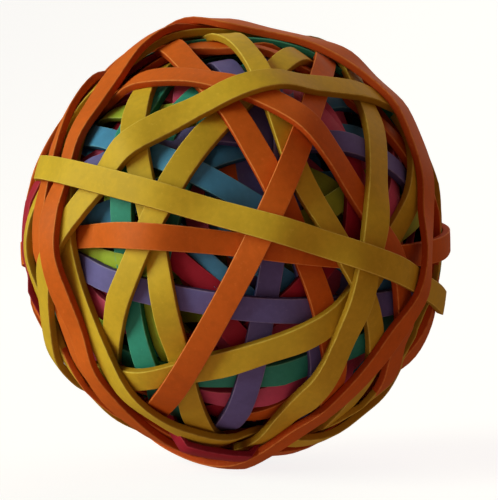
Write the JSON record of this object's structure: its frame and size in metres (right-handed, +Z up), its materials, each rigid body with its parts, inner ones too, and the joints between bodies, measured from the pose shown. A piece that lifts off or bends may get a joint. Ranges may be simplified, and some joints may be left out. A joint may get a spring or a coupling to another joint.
{
  "type": "rubber band ball",
  "caption": "Ball of coloured flat rubber bands wound one over another, with yellow and orange loops outside.",
  "frame": {"origin": "centre of the ball's bounding box", "axes": "+Z up as pictured; the side seen in the picture, with the yellow sash, faces -Y; +X is to its right"},
  "size_m": [0.064, 0.0634, 0.0662],
  "materials": {
    "yellow_rubber": "satin opaque yellow rubber, matt along its cut edges",
    "orange_rubber": "satin opaque orange rubber, matt along its cut edges",
    "pink_rubber": "satin opaque rose-pink rubber",
    "crimson_rubber": "satin opaque crimson rubber",
    "teal_rubber": "satin opaque green-teal rubber",
    "blue_rubber": "satin opaque sky-blue rubber",
    "purple_rubber": "satin opaque lavender-purple rubber",
    "lime_rubber": "satin opaque lime-green rubber",
    "core_rubber": "satin rubber in mixed colours, dark between the bands"
  },
  "bodies": {
    "root": {"blue_under_01": "blue_rubber", "blue_under_02": "blue_rubber", "blue_under_03": "blue_rubber", "blue_under_04": "blue_rubber", "crimson_under_01": "crimson_rubber", "crimson_under_02": "crimson_rubber", "crimson_under_03": "crimson_rubber", "lime_under_01": "lime_rubber", "lime_under_02": "lime_rubber", "orange_belt": "orange_rubber", "orange_crown": "orange_rubber", "orange_edge_left": "orange_rubber", "orange_edge_right": "orange_rubber", "orange_left": "orange_rubber", "orange_right": "orange_rubber", "orange_rim_bottom": "orange_rubber", "orange_rim_top": "orange_rubber", "orange_shoulder": "orange_rubber", "orange_slant_middle": "orange_rubber", "orange_slant_right": "orange_rubber", "orange_under_01": "orange_rubber", "pink_under_01": "pink_rubber", "pink_under_02": "pink_rubber", "pink_under_03": "pink_rubber", "pink_under_04": "pink_rubber", "pink_under_05": "pink_rubber", "purple_under_01": "purple_rubber", "purple_under_02": "purple_rubber", "purple_under_03": "purple_rubber", "purple_under_04": "purple_rubber", "teal_under_01": "teal_rubber", "teal_under_02": "teal_rubber", "teal_under_03": "teal_rubber", "wound_core": "core_rubber", "yellow_brow": "yellow_rubber", "yellow_edge_left": "yellow_rubber", "yellow_low_arc": "yellow_rubber", "yellow_low_sweep": "yellow_rubber", "yellow_right": "yellow_rubber", "yellow_sash": "yellow_rubber", "yellow_slant_left": "yellow_rubber", "yellow_slant_right": "yellow_rubber", "yellow_upright": "yellow_rubber"}
  },
  "joints": []
}
